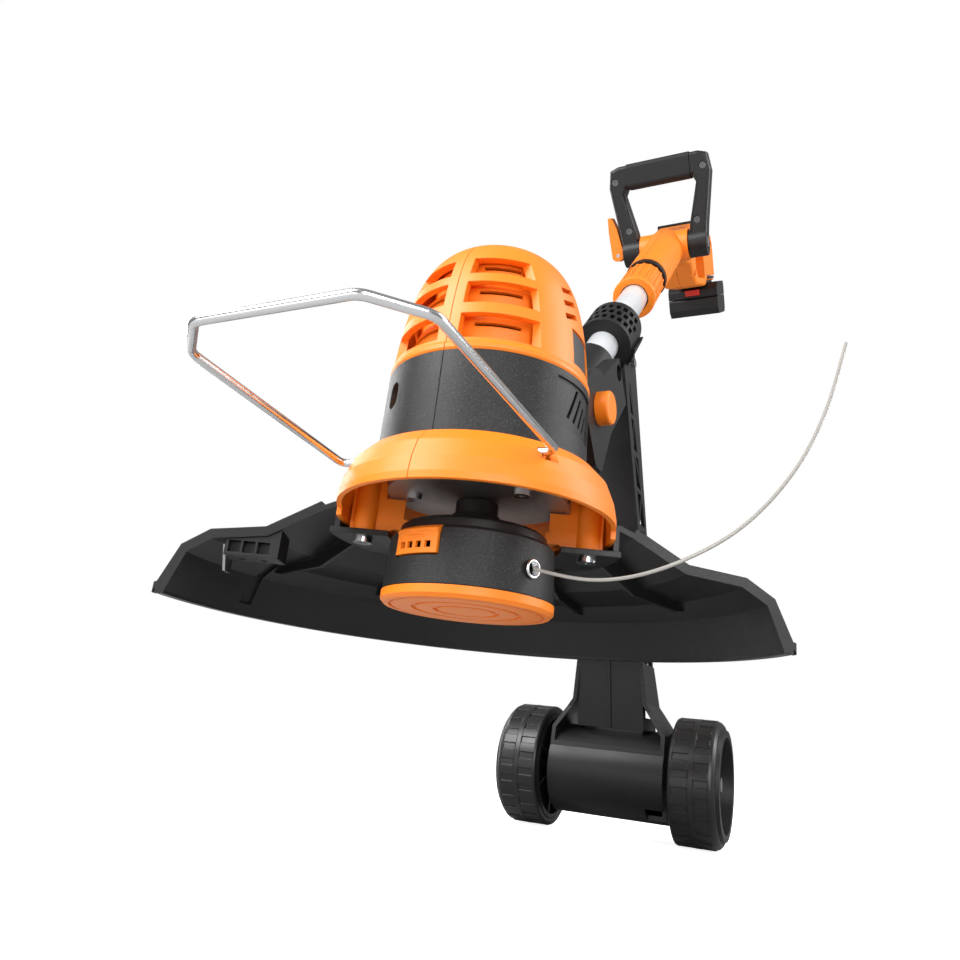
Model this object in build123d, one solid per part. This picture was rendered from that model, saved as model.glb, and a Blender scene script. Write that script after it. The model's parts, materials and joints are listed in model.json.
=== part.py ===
from build123d import *
import os
from math import cos, sin, tan, radians, hypot, atan2

os.makedirs("parts", exist_ok=True)

# A cordless string trimmer, standing on its edging wheels.
# Origin: middle of the spool cap's lower face. +Z is the spool axis, -Y the front, +X its left hand side.
# All lengths are in millimetres and all angles in degrees.

# Driving dimensions -------------------------------------------------------------------------------
FIT = 0.05                        # radial running fit of every shaft, pin and sliding tube
GAP = 0.5                         # air between neighbouring shells
SEAM = 0.15                       # half of the joint line between two clam shells

CAP_R, CAP_H = 43.0, 5.7          # spool cap
DRUM_TOP = 34.0                   # top of the spool drum
SHAFT_R = 4.0
PLATE_Z = 57.0                    # underside of the grey motor plate
SKIRT_R, SKIRT_LOW, SKIRT_FRONT, SKIRT_TOP = 71.0, 42.0, 46.5, 73.5
BAND_R, BAND_TOP = 54.5, 117.0    # black motor housing
DOME_TOP = 198.0

GUARD_TURN = 23.0                 # the guard's middle, turned about the spool axis from +Y
GUARD_R, GUARD_LOW = 163.0, -4.0
GUARD_FRONT = 10.0                # the guard's straight front edge, behind the spool axis
GUARD_SCREW_X, BLADE_SCREWS = 58.5, (-112, -124)

PIVOT_Y, PIVOT_Z = 110.0, 153.5   # head tilt pivot, on the tube's axis
TUBE_SLOPE = 47.7
TUBE_R, TUBE_BORE = 12.5, 11.0
CLAMP_AT, NUT_AT, SLEEVE_AT, BOSS_AT = 125.0, 251.0, 266.0, 436.0   # distances up the tube's axis
TUBE_START, TUBE_END, YOKE_BOLT_AT = 34.0, 412.0, 62.0

REAR_SLOPE = 32.0                 # the rear handle lies flatter than the tube
HANDLE_HALF = 20.0

AXLE_Y, AXLE_Z, AXLE_R = 287.5, -76.0, 5.0
WHEEL_R, WHEEL_IN, WHEEL_OUT = 45.2, 48.8, 84.3

BAIL_Y, BAIL_Z, BAIL_X, BAIL_WIRE = -42.0, 66.0, 57.0, 2.0
LINE_R = 0.85

UP = (Align.CENTER, Align.CENTER, Align.MIN)
TUBE = Plane(origin=(0, PIVOT_Y, PIVOT_Z), x_dir=(1, 0, 0),
             z_dir=(0, cos(radians(TUBE_SLOPE)), sin(radians(TUBE_SLOPE)))).location
BOSS_Y = PIVOT_Y + BOSS_AT * cos(radians(TUBE_SLOPE))
BOSS_Z = PIVOT_Z + BOSS_AT * sin(radians(TUBE_SLOPE))
# Side views: x along the rear handle, y square to it and upwards, the extrusion along world X.
REAR = Plane(origin=(0, BOSS_Y, BOSS_Z),
             x_dir=(0, cos(radians(REAR_SLOPE)), sin(radians(REAR_SLOPE))), z_dir=(1, 0, 0))
# The loop handle stands up from the boss: x across, y up the loop, z along the tube.
LOOP_LEAN = 122.8
LOOP = Plane(origin=(0, BOSS_Y, BOSS_Z), x_dir=(1, 0, 0),
             z_dir=(0, -sin(radians(LOOP_LEAN)), cos(radians(LOOP_LEAN)))).location


def tube_point(along):
    """The (Y, Z) of a point on the tube's axis."""
    return (PIVOT_Y + along * cos(radians(TUBE_SLOPE)), PIVOT_Z + along * sin(radians(TUBE_SLOPE)))


# Helpers ------------------------------------------------------------------------------------------
def disc(radius, low, high):
    return Pos(0, 0, low) * Cylinder(radius, high - low, align=UP)


def ring(outer, inner, low, high):
    return disc(outer, low, high) - disc(inner, low - 1, high + 1)


def block(x, y, z):
    middle = [(low + high) / 2 for low, high in (x, y, z)]
    return Pos(*middle) * Box(x[1] - x[0], y[1] - y[0], z[1] - z[0])


def rod(radius, x0, x1, y, z):
    """A cylinder along X."""
    return Pos((x0 + x1) / 2, y, z) * Rot(0, 90, 0) * Cylinder(radius, x1 - x0)


def outline(points):
    return make_face(Polyline(*points, close=True))


def turned(points):
    """A solid turned about Z from (radius, height) points."""
    return revolve(Plane.XZ * outline(points), Axis.Z)


def side_plate(face, x0, x1):
    """A side view in world (Y, Z), given thickness from x0 to x1."""
    return Pos(x0, 0, 0) * extrude(Plane.YZ * face, x1 - x0)


def rear_plate(face, x0, x1):
    """A side view in the rear handle's own (along, up), given thickness from x0 to x1."""
    return Pos(x0, 0, 0) * extrude(REAR * face, x1 - x0)


def rounded(points, radius):
    face = outline(points)
    return fillet(face.vertices(), radius)


def half(solid, side):
    """The half of a clam shell on one side of the parting plane X = 0."""
    return solid & block((SEAM, 400) if side > 0 else (-400, -SEAM), (-700, 1500), (-700, 1500))


def screw(radius, head_high, shank_r, length):
    """A cross head screw, its head above z = 0 and its shank below."""
    body = disc(radius, 0, head_high) + disc(shank_r, -length, 0)
    arm = radius * 0.55
    slot = block((-arm, arm), (-0.5, 0.5), (head_high - 1, head_high + 1))
    return body - slot - Rot(0, 0, 90) * slot


def screw_room(radius, head_high, shank_r, length):
    return disc(radius + 0.4, -0.01, head_high + 30) + disc(shank_r + 0.15, -length - 1, 0)


def helix_spring(radius, wire, pitch, height):
    path = Helix(pitch, height, radius)
    start = Plane(origin=path @ 0, z_dir=path % 0)
    return sweep(start * Circle(wire / 2), path)


# Spool --------------------------------------------------------------------------------------------
TAB_TURN = -13.8                  # the cap's release tab, turned from the front towards +X
EYELET_TURN = 68.5
EYELET_Z = 18.5


def facing(turn):
    """Turns a piece made at the front, on -Y, round the spool axis."""
    return Rot(0, 0, turn)


def spool_cap():
    cap = turned([(0, 0), (41.2, 0), (CAP_R, 1.8), (CAP_R, CAP_H), (39.6, CAP_H),
                  (39.6, 11.5), (37.8, 11.5), (37.8, 3.2), (0, 3.2)])
    for outer, inner in ((38.6, 37.4), (27.5, 25.2), (16.5, 14.2)):
        cap -= ring(outer, inner, -1, 0.9)
    for turn in (TAB_TURN, TAB_TURN + 180):
        cap -= facing(turn) * block((-15, 15), (-42, -36), (CAP_H + 0.01, 14))
    return cap


def tab_window(turn, grow):
    return facing(turn) * block((-13 - grow, 13 + grow), (-45, -33.8), (19.6 - grow, DRUM_TOP + 1))


def drum():
    body = turned([(42.8, CAP_H + 0.3), (41.3, 32.4), (39.8, DRUM_TOP), (11.4, DRUM_TOP),
                   (11.4, DRUM_TOP - 2.4), (38.4, DRUM_TOP - 2.4), (40.2, CAP_H + 0.3)])
    for turn in (TAB_TURN, TAB_TURN + 180):
        body -= tab_window(turn, 0.4)
    body -= facing(EYELET_TURN) * Pos(0, -42, EYELET_Z) * Rot(90, 0, 0) * Cylinder(3.6, 8)
    for step in range(4):
        body -= Rot(0, 0, 45 + 90 * step) * Pos(25, 0, DRUM_TOP) * Cylinder(3, 10)
    return body


def cap_tab(turn):
    """A release tab: a curved pad in the drum's window, ledged at its top, on a leg behind the wall."""
    pad = turned([(36.9, 20), (42.6, 20), (42.4, 30), (42.9, 30.4), (42.9, 31.8), (39.6, 33.8), (38.4, 33.8),
                  (38.4, 31), (40.9, 30), (40.9, 22.5), (36.9, 22.5)]) & block((-12.7, 12.7), (-45, -36), (19, 35))
    for step in range(4):
        pad -= Pos(-7.8 + 5.2 * step, -42, 24.2) * Box(3.2, 4, 3.2)
    pad -= block((-9, 9), (-44, -42), (27, 28.8))
    return facing(turn) * pad


def eyelet():
    ferrule = Pos(0, -41.6, EYELET_Z) * Rot(90, 0, 0) * (Cylinder(3.5, 5) - Cylinder(1.9, 9))
    flange = Pos(0, -43.2, EYELET_Z) * Rot(90, 0, 0) * (Cylinder(4.7, 1.2) - Cylinder(1.9, 9))
    return facing(EYELET_TURN) * (ferrule + flange)


def reel():
    body = ring(14, SHAFT_R + 1.4, 5, 24) + ring(34.5, 14, 5, 6.6) + ring(34.5, 14, 22.4, 24)
    for step in range(6):
        body -= Rot(0, 0, 60 * step) * Pos(24, 0, 24) * Cylinder(4, 5)
    return body


def wound_line():
    return turned([(14.3, 7), (30, 7), (31.5, 8.5), (31.5, 20.5), (30, 22), (14.3, 22)])


def spool_spring():
    return Pos(0, 0, 25) * helix_spring(12.2, 1.3, 2.6, 5.6)


def drive_hub():
    """The hub on the motor shaft, with the flange that closes the drum's top."""
    low = DRUM_TOP + 0.2
    body = ring(11, SHAFT_R, 26, 55.5)
    return body + turned([(10.5, low), (37.5, low), (37.2, low + 4), (35.6, low + 5.6), (14, low + 8),
                          (12.6, low + 14), (10.5, low + 14)])


def motor_rotor():
    """Shaft with the laminated armature and the commutator pressed on it."""
    body = disc(SHAFT_R, 4, 158) + disc(19, 78, 128) + disc(11, 134, 146)
    for step in range(12):
        body -= Rot(0, 0, 30 * step) * block((15, 20), (-1.1, 1.1), (77, 129))
    return body


# Motor head ---------------------------------------------------------------------------------------
NECK_HALF = 15.0


def motor_can():
    """Steel can with its two magnets glued in."""
    can = ring(25.5, 22.5, 66, 150) + ring(22.5, SHAFT_R + 4.2, 66, 68.5) + ring(22.5, SHAFT_R + 4.2, 147.5, 150)
    for step in range(4):
        can -= Rot(0, 0, 45 + 90 * step) * Pos(25, 0, 140) * Box(10, 7, 9)
    magnets = ring(22.6, 19.8, 80, 126) - block((-5, 5), (-30, 30), (79, 127))
    return can + magnets


def bearings():
    return ring(8.0, SHAFT_R + FIT, 60.4, 65.4) + ring(8.0, SHAFT_R + FIT, 142.5 + 5, 152)


def motor_plate():
    plate = ring(46.5, 12.5, PLATE_Z, PLATE_Z + 2.5) + ring(12.5, 8.2, PLATE_Z, 66)
    plate += ring(12.6, 5.2, PLATE_Z, PLATE_Z + 1.2)
    for x in (-30, 30):
        plate -= Pos(x, -14, PLATE_Z) * Cylinder(2.2, 8)
    return plate


def neck_outline():
    bar = outline([(46, 84), (72, 84), (126, 138), (118, 173), (98, 172), (62, 116.5), (46, 116.5)])
    return bar + Pos(PIVOT_Y, PIVOT_Z) * Circle(21)


def housing():
    """Black motor housing: a drum shell, its inner wall down to the motor plate, and the tilt neck."""
    shell = turned([(BAND_R, SKIRT_TOP), (BAND_R - 1, BAND_TOP), (BAND_R - 3.9, BAND_TOP),
                    (BAND_R - 3.9, 78), (45.4, 76.4), (45.4, 61), (47.4, 61), (47.4, SKIRT_TOP)])
    shell += ring(47.4, 26, 66, 68.5)
    neck = side_plate(neck_outline(), -NECK_HALF, NECK_HALF)
    cavity = side_plate(offset(neck_outline(), -3.2), -NECK_HALF + 3.2, NECK_HALF - 3.2)
    neck = neck - cavity - disc(BAND_R - 2, 60, 200)
    shell += neck
    shell += rod(9, -NECK_HALF, NECK_HALF, PIVOT_Y, PIVOT_Z)
    shell -= rod(5.0 + FIT, -30, 30, PIVOT_Y, PIVOT_Z)
    # a recessed panel with four slanted air slots on the left, and an oval screw well on the right
    panel = ring(BAND_R + 3, BAND_R - 1.9, 87, 113) & wedge_between(64, 104)
    shell -= panel
    for step in range(4):
        slot = Pos(0, -52, 102.5 - 1.8 * step) * Rot(0, 24, 0) * Box(1.9, 12, 19 - 2.5 * step)
        shell -= facing(79 + 5.5 * step) * slot
    for z in (97, 103):
        shell -= facing(-35) * Pos(0, -52, z) * Rot(90, 0, 0) * Cylinder(4.2, 12)
    return shell - facing(-35) * block((-4.2, 4.2), (-60, -46), (97, 103))


def wedge_between(turn_a, turn_b):
    """The wedge of space round the spool axis between two turns from the front."""
    far = 120
    points = [(0, 0)] + [(far * sin(radians(t)), -far * cos(radians(t)))
                         for t in (turn_a, (turn_a + turn_b) / 2, turn_b)]
    return extrude(outline(points), 260)


def dome():
    """Orange clam shell over the motor: three rows of louvres round its front, with a liner behind them."""
    lip = Polyline((47.6, 117.3), (52.8, 117.3), (53.6, 118.5), (53.6, 120.5), (52.4, 122.5))
    outer = Spline((52.4, 122.5), (49.5, 149), (41, 178), (0, DOME_TOP), tangents=[(-0.06, 1), (-1, 0)])
    inner = Spline((47.6, 117.3), (46.1, 148), (37.4, 175), (0, DOME_TOP - 3.4), tangents=[(-0.06, 1), (-1, 0)])
    crown = Line((0, DOME_TOP - 3.4), (0, DOME_TOP))
    shell = revolve(Plane.XZ * make_face([lip, outer, inner, crown]), Axis.Z)
    for low, high, depth in ((125, 138, 8.4), (145.5, 157.5, 8.6), (164.5, 174, 8.4)):
        middle = (low + high) / 2
        reach = 52.4 - (middle - 122) * 0.11 - max(0, middle - 150) * 0.17
        cut = turned([(reach - depth + 3, low), (reach + 14, low - 3.5), (reach + 14, high),
                      (reach - depth, high), (reach - depth, high - 4)])
        wedge = outline([(5.5, -8), (5.5, -90), (95, -90), (95, -42.3), (28.5, -29.5), (10, -20)])
        window = Pos(0, 0, low - 20) * extrude(wedge, 60)
        shell -= cut & (window + mirror(window, Plane.YZ))
    for side in (-1, 1):
        for step in range(3):
            turn = Rot(0, 0, -12 if side > 0 else 192)
            shell -= turn * Pos(44, 0, 152 + 8 * step) * Rot(20, 0, 0) * Box(16, 12, 3)
    shell -= block((34, 60), (-11, 11), (125, 145)) & turned([(50.6, 121), (48.3, 145), (70, 145), (70, 121)])
    shell -= facing(62) * Pos(0, -34, 187) * Rot(35, 0, 0) * Cylinder(4, 14)
    liner = turned([(47.8, 117.3), (47.8, 119), (42.9, 121), (42.9, 138.5), (40.2, 145), (40.2, 158), (35.4, 164),
                    (35.4, 175), (32.5, 184), (30, 184), (33, 174), (33, 163), (37.8, 157), (37.8, 144),
                    (40.4, 138), (40.4, 119), (43, 117.3)])
    for low in (135, 154.5, 171.5):
        liner -= ring(50, 20, low, low + 2) & (wedge_between(12, 44) + wedge_between(-44, -12))
    tongue = ring(50.2, 47.6, 91, 121) & wedge_between(-45, -25)
    return shell + liner + tongue


def label_plate():
    plate = block((34, 60), (-10.6, 10.6), (126, 144))
    return plate & turned([(50.25, 126), (51.35, 126), (49.6, 144), (48.5, 144)])


def skirt():
    """Orange collar under the motor: a faceted bell with two V walls and two bosses for the guard."""
    shell = turned([(BAND_R + 0.4, SKIRT_TOP + 1.6), (59.5, SKIRT_TOP - 0.3), (66, 66.5), (69.6, 57.5),
                    (SKIRT_R, 50), (SKIRT_R, SKIRT_LOW), (68.4, SKIRT_LOW), (68.4, 50), (67, 57.2),
                    (63.6, 65.2), (58.4, 70.4), (47.8, 70.6), (47.8, SKIRT_TOP - 0.3),
                    (BAND_R + 0.4, SKIRT_TOP - 0.3)])
    turn = Rot(0, 0, GUARD_TURN)
    front = block((-90, 90), (-90, -6), (0, SKIRT_FRONT))
    shell -= turn * front
    for side in (-1, 1):
        boss = Pos(side * GUARD_SCREW_X, GUARD_FRONT, 38.2) * Cylinder(6.5, 26, align=UP)
        wall = extrude(Plane.XZ.offset(-GUARD_FRONT) * outline(
            [(side * x, z) for x, z in ((38, 56.4), (38, 44), (45.5, 38.2), (66, 38.2), (66, 70), (48.4, 70),
                                        (48.4, 56.4))]), 2.4)
        lug = block((36, 44) if side > 0 else (-44, -36), (GUARD_FRONT - 2.4, GUARD_FRONT + 6), (40, 46))
        inside = turned([(0, 38), (68.6, 38), (68.6, 50.2), (67.2, 57.4), (63.8, 65.4), (58.4, 70.6), (0, 70.6)])
        shell += turn * ((boss + wall + lug) & inside)
        shell -= turn * Pos(side * GUARD_SCREW_X, GUARD_FRONT, 30) * Cylinder(1.95, 26, align=UP)
    for side in (-1, 1):
        shell -= rod(BAIL_WIRE + 0.12, 40, 80, BAIL_Y, BAIL_Z) if side > 0 else rod(BAIL_WIRE + 0.12, -80, -40, BAIL_Y, BAIL_Z)
        groove = block((51, 80), (BAIL_Y - 5, BAIL_Y + 5), (BAIL_Z - 4, BAIL_Z + 40))
        shell -= groove if side > 0 else mirror(groove, Plane.YZ)
    return shell


NECK_SCREW = Rot(0, 90, 0)
NECK_SCREW_SPOTS = [Pos(NECK_HALF - 2.4, PIVOT_Y - 34, PIVOT_Z - 34), Pos(NECK_HALF - 2.4, PIVOT_Y - 12, PIVOT_Z + 13)]


def head_screws():
    """Two screws up through the motor plate and two across the neck."""
    plate_screw = Rot(180, 0, 0) * screw(4.2, 2.4, 2.0, 8)
    group = [Pos(x, -14, PLATE_Z - 0.05) * plate_screw for x in (-30, 30)]
    neck_screw = NECK_SCREW * screw(3.4, 2.2, 1.6, 12)
    return Compound(group + [spot * neck_screw for spot in NECK_SCREW_SPOTS])


def neck_screw_rooms():
    return [spot * NECK_SCREW * screw_room(3.4, 2.2, 1.6, 12) for spot in NECK_SCREW_SPOTS]


# Guard --------------------------------------------------------------------------------------------
GUARD_TOP = [(72.4, 36), (72.4, 53), (75.5, 53.8), (83, 50.4), (110, 34), (139, 30), (153, 20.5),
             (161.5, 0), (GUARD_R, -0.6), (GUARD_R, GUARD_LOW)]
GUARD_UNDER = [(158.3, GUARD_LOW), (158, -2.4), (150.4, 18.9), (137.8, 27.2), (109.4, 31.1), (82.2, 47.4),
               (75.4, 50.4), (75.4, 36)]


def guard_half_space():
    return block((-200, 200), (GUARD_FRONT, 200), (-5, 80))


def guard():
    shell = turned(GUARD_TOP + GUARD_UNDER) & guard_half_space()
    lip = [(r + 1.2, z + 2.2) for r, z in GUARD_TOP[3:-1]] + [(GUARD_R + 1.2, GUARD_LOW)]
    lip = turned(lip + [(r - 0.3, z - 0.3) for r, z in reversed(GUARD_TOP[3:-1])] + [(83, 50)])
    shell += lip & block((-200, 200), (GUARD_FRONT, GUARD_FRONT + 5), (GUARD_LOW, 80))
    for side in (-1, 1):
        plate = ring(75, 44.5, 35, 38) & block((40, 80) if side > 0 else (-80, -40), (GUARD_FRONT - 7.5, 46), (30, 40))
        shell += plate
        for turn in (32, 62):
            rib = Plane.XZ * outline([(75, 51), (83, 48.5), (109.8, 32.6), (138, 28.8), (146.5, 23.4), (138, 22),
                                      (106, 25.5), (78, 40)])
            rib = Pos(0, 1.2, 0) * extrude(rib, 2.4)
            shell += Rot(0, 0, turn if side > 0 else 180 - turn) * rib
        shell -= Pos(side * GUARD_SCREW_X, GUARD_FRONT, 30) * Cylinder(2.35, 20, align=UP)
    recess = turned([(r + 1.5, z + 1.2) for r, z in GUARD_UNDER[1:4]] + [(120, 20), (120, -2)])
    slot = block((-170, -136), (-2.8, 2.8), (3, 40)) + block((-170, -140), (-6, 2.8), (3, 8))
    shell -= recess & (Rot(0, 0, -29.5) * slot)
    for x in BLADE_SCREWS:
        shell -= Pos(x, GUARD_FRONT + 11, 20) * Cylinder(1.8, 30, align=UP)
    return Rot(0, 0, GUARD_TURN) * shell


def guard_screws():
    """Two screws up into the skirt, and two down through the guard that hold the blade holder."""
    skirt_screw = Rot(180, 0, 0) * screw(5.0, 3.0, 1.9, 21)
    group = [Pos(side * GUARD_SCREW_X, GUARD_FRONT, 34.95) * skirt_screw for side in (-1, 1)]
    blade_screw = screw(3.4, 2.0, 1.6, 10)
    group += [Pos(x, GUARD_FRONT + 11, z) * blade_screw for x, z in zip(BLADE_SCREWS, (34.6, 32.8))]
    return Compound([Rot(0, 0, GUARD_TURN) * one for one in group])


def blade_holder():
    body = block((-131, -102), (GUARD_FRONT + 1, GUARD_FRONT + 17), (19.5, 40))
    body &= turned([(90, 0), (90, 40), (100, 36.6), (109.4, 31), (137.8, 27.1), (150, 19), (150, 0)])
    for x in (-129.2, -121.4, -113.6):
        body -= block((x, x + 6.4), (GUARD_FRONT, GUARD_FRONT + 5.5), (21.2, 27.5))
    for x in BLADE_SCREWS:
        body -= Pos(x, GUARD_FRONT + 11, 10) * Cylinder(1.75, 30, align=UP)
    return Rot(0, 0, GUARD_TURN) * body


def line_blade():
    blade = outline([(GUARD_FRONT + 2, 25), (GUARD_FRONT + 16, 25), (GUARD_FRONT + 16, 12),
                     (GUARD_FRONT + 8, 12)])
    return Rot(0, 0, GUARD_TURN) * side_plate(blade, -132.4, -131.0)


# Plant guard --------------------------------------------------------------------------------------
def plant_guard():
    """One bent steel wire: its two ends turn in to the skirt, and its front folds in at the corners."""
    points = [(BAIL_X - 10, BAIL_Y, BAIL_Z), (BAIL_X, BAIL_Y, BAIL_Z), (BAIL_X - 3, -152, 72.5),
              (35, -170, 73.5)]
    points += [(-x, y, z) for x, y, z in reversed(points)]
    path = FilletPolyline(*points, radius=[4, 9, 9, 9, 9, 4])
    start = Plane(origin=path @ 0, z_dir=path % 0)
    return sweep(start * Circle(BAIL_WIRE), path)


# Tilt joint ---------------------------------------------------------------------------------------
CHEEK_IN, CHEEK_OUT = NECK_HALF + GAP, 27.0


def yoke():
    cheek = Pos(PIVOT_Y, PIVOT_Z) * Circle(27)
    strap = outline([(PIVOT_Y + y, PIVOT_Z + z) for y, z in
                     ((-12, 24), (6, 27), (40, 57), (64, 31), (30, -6), (13, -40), (0, -40), (-24, -14))])
    body = side_plate(cheek + strap, -CHEEK_OUT, CHEEK_OUT)
    body += TUBE * disc(18, 36, 84)
    gap_side = side_plate(Pos(PIVOT_Y, PIVOT_Z) * Circle(28.5) + outline(
        [(PIVOT_Y + y, PIVOT_Z + z) for y, z in ((-60, 40), (0, 28), (28, -2), (40, -60), (-60, -60))]),
        -CHEEK_IN, CHEEK_IN)
    body -= gap_side
    body -= TUBE * disc(TUBE_R, TUBE_START, 100)
    body -= rod(5.0, -40, 40, PIVOT_Y, PIVOT_Z)
    body -= rod(11.4, CHEEK_OUT - 6, 40, PIVOT_Y, PIVOT_Z)
    body -= rod(8, -40, -CHEEK_OUT + 3, PIVOT_Y, PIVOT_Z)
    for x0, x1 in ((-40, -18), (18, 40)):
        body -= rod(6.2, x0, x1, *tube_point(YOKE_BOLT_AT))
    body -= rod(3.1, -40, 40, *tube_point(YOKE_BOLT_AT))
    return body


def tilt_pin():
    pin = rod(5.0, -CHEEK_OUT + 3, CHEEK_IN + 2, PIVOT_Y, PIVOT_Z)
    return pin + rod(7.8, -CHEEK_OUT, -CHEEK_OUT + 3, PIVOT_Y, PIVOT_Z)


def tilt_button():
    body = rod(11.3, CHEEK_OUT - 2.8, CHEEK_OUT + 9, PIVOT_Y, PIVOT_Z)
    body = fillet(body.edges().group_by(Axis.X)[-1], 2)
    return body - rod(8.6, CHEEK_OUT - 4, CHEEK_OUT + 5, PIVOT_Y, PIVOT_Z)


def tilt_spring():
    spring = helix_spring(6.6, 1.2, 2.4, 6.6)
    return Pos(CHEEK_OUT - 5.2, PIVOT_Y, PIVOT_Z) * Rot(0, 90, 0) * spring


# Tube ---------------------------------------------------------------------------------------------
def lower_tube():
    tube = ring(TUBE_R, TUBE_BORE, TUBE_START, TUBE_END)
    tube -= block((-1.5, 1.5), (TUBE_R - 0.8, TUBE_R + 1), (NUT_AT - 8, TUBE_END + 1))
    tube = TUBE * tube
    return tube - rod(3.1, -40, 40, *tube_point(YOKE_BOLT_AT))


def tube_bush():
    bush = ring(14.6, TUBE_R + FIT, NUT_AT + 6, NUT_AT + 55) + ring(16.6, TUBE_R + FIT, NUT_AT + 6, NUT_AT + 14.5)
    bush += block((-1.3, 1.3), (TUBE_R - 0.5, TUBE_R + 1), (NUT_AT + 6, NUT_AT + 55))
    for turn in (45, 165, 285):
        bush -= Rot(0, 0, turn) * block((10, 20), (-0.8, 0.8), (NUT_AT + 18, NUT_AT + 60))
    return TUBE * bush


def lock_nut():
    nut = turned([(13.2, NUT_AT), (19, NUT_AT), (20, NUT_AT + 2), (18.6, NUT_AT + 14), (18.4, NUT_AT + 54),
                  (17.1, NUT_AT + 54), (17.1, NUT_AT + 5.4), (13.2, NUT_AT + 5.4)])
    for step in range(12):
        rib = block((17.8, 19.6), (-1.4, 1.4), (NUT_AT + 10, NUT_AT + 52))
        nut += Rot(0, 0, 30 * step + 15) * rib
    return TUBE * nut


def outer_sleeve():
    sleeve = ring(17.0, 14.65, SLEEVE_AT, BOSS_AT - 20)
    for step in range(5):
        sleeve -= ring(18, 16.6, SLEEVE_AT + 3 + 5 * step, SLEEVE_AT + 5.5 + 5 * step)
    sleeve += ring(20, 16.5, NUT_AT + 56, NUT_AT + 63)
    return TUBE * sleeve


# Edging wheels ------------------------------------------------------------------------------------
CLAMP_R, CLAMP_LONG = 22.5, 45.0
ARM_FRONT = [(197, 252), (234, 100), (258, 0), (268, -44)]           # the front face's (Y, Z)
ARM_BACK = [(310, -44), (296, 0), (264, 100), (238, 262)]


def clamp_turned(step, row):
    return Rot(0, 0, -162 + 16 * step + 8 * (row % 2))


def arm_clamp():
    """A perforated band round the tube, drawn shut by one screw behind it."""
    band = ring(CLAMP_R, TUBE_R, CLAMP_AT, CLAMP_AT + CLAMP_LONG)
    for row in range(3):
        for step in range(10):
            band -= clamp_turned(step, row) * Pos(20, 0, CLAMP_AT + 10 + 12 * row) * Box(8, 3.8, 8)
    return TUBE * band


def wheel_arm():
    """A tapered channel from the clamp down to the axle: flat in front, lattice sides, open to the rear."""
    body = side_plate(outline(ARM_FRONT + ARM_BACK), -26, 26)
    taper = extrude(Plane.XZ * outline([(-13, 280), (13, 280), (25, 100), (26, -50), (-26, -50), (-25, 100)]),
                    -400)
    hollow = extrude(Plane.XZ * outline([(-10, 280), (10, 280), (22, 100), (23, -50), (-23, -50), (-22, 100)]),
                     -400)
    channel = outline([(y + 3.4, z) for y, z in ARM_FRONT] + [(y + 30, z) for y, z in ARM_BACK])
    body = (body & taper) - (side_plate(channel, -30, 30) & hollow)
    for step in range(9):
        low, high = -34 + 29 * step, -9 + 29 * step
        front = [258 - 0.235 * z + 8 for z in (low, high)]
        back = [296 - 0.32 * z - 4 for z in (low, high)]
        corners = [(front[0], low), (back[0], low), (back[1], high)] if step % 2 else \
                  [(front[0], low), (front[1], high), (back[0], low)]
        body -= side_plate(outline(corners), -40, 40)
        other = [(front[0], low + 4), (back[1] - 2, high), (front[1], high)] if step % 2 else \
                [(front[1] + 4, high), (back[1], high), (back[0], low + 4)]
        body -= side_plate(outline(other), -40, 40)
    # axle housing, flared into the channel on both sides
    housing = rod(33, -44, 44, AXLE_Y - 0.5, AXLE_Z)
    housing -= rod(29.5, -40.5, 40.5, AXLE_Y - 0.5, AXLE_Z)
    housing += rod(9, -44, 44, AXLE_Y, AXLE_Z)
    housing += block((-1.5, 1.5), (AXLE_Y - 30, AXLE_Y + 30), (AXLE_Z - 1.5, AXLE_Z + 1.5))
    for x in (-27, 0, 27):
        housing += rod(31, x - 1.5, x + 1.5, AXLE_Y - 0.5, AXLE_Z)
    flare = outline([(-26, 6), (26, 6), (29, -24), (44, -46), (44, -60), (-44, -60), (-44, -46), (-29, -24)])
    shoulder = extrude(Plane.XZ * flare, -400) & side_plate(outline(
        [(257, 6), (262, -30), (258, -60), (315, -60), (310, -30), (296, 6)]), -44, 44)
    housing += shoulder - extrude(Plane.XZ * offset(flare, -3.2), -400) - rod(30, -40, 40, AXLE_Y, AXLE_Z)
    housing -= block((30, 46), (AXLE_Y - 40, AXLE_Y - 14), (AXLE_Z - 40, AXLE_Z - 22))
    # saddle round the lower half of the clamp, with a ridge down the front
    saddle = TUBE * (disc(CLAMP_R + 3, CLAMP_AT + 3, CLAMP_AT + CLAMP_LONG - 3))
    saddle &= side_plate(outline([(180, 225), (262, 300), (262, 200), (200, 200)]), -40, 40)
    body += housing + saddle
    body += side_plate(outline([(y - 1.2, z) for y, z in ARM_FRONT[1:]] +
                               [(y + 2, z) for y, z in reversed(ARM_FRONT[1:])]), -1, 1)
    body -= TUBE * disc(CLAMP_R + 0.05, CLAMP_AT - 40, CLAMP_AT + 60)
    body -= rod(AXLE_R, -60, 60, AXLE_Y, AXLE_Z)
    return body - rod(2.1, -60, 60, *clamp_screw_at())


def clamp_screw_at():
    y, z = tube_point(CLAMP_AT + 22)
    return y + 17.5, z - 17.5


def tube_bolts():
    """The bolt that holds the yoke on the tube, and the screw that draws the arm's clamp shut."""
    y, z = tube_point(YOKE_BOLT_AT)
    yoke_bolt = rod(3.0, -18, 18, y, z) + rod(5.6, 18, 21.5, y, z) + rod(5.6, -21.5, -18, y, z)
    screw_y, screw_z = clamp_screw_at()
    clamp_screw = rod(2.0, -16, 16, screw_y, screw_z) + rod(3.6, 16, 18.6, screw_y, screw_z)
    return Compound([yoke_bolt, clamp_screw])


def axle():
    return rod(AXLE_R, -WHEEL_OUT + 4, WHEEL_OUT - 4, AXLE_Y, AXLE_Z)


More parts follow.
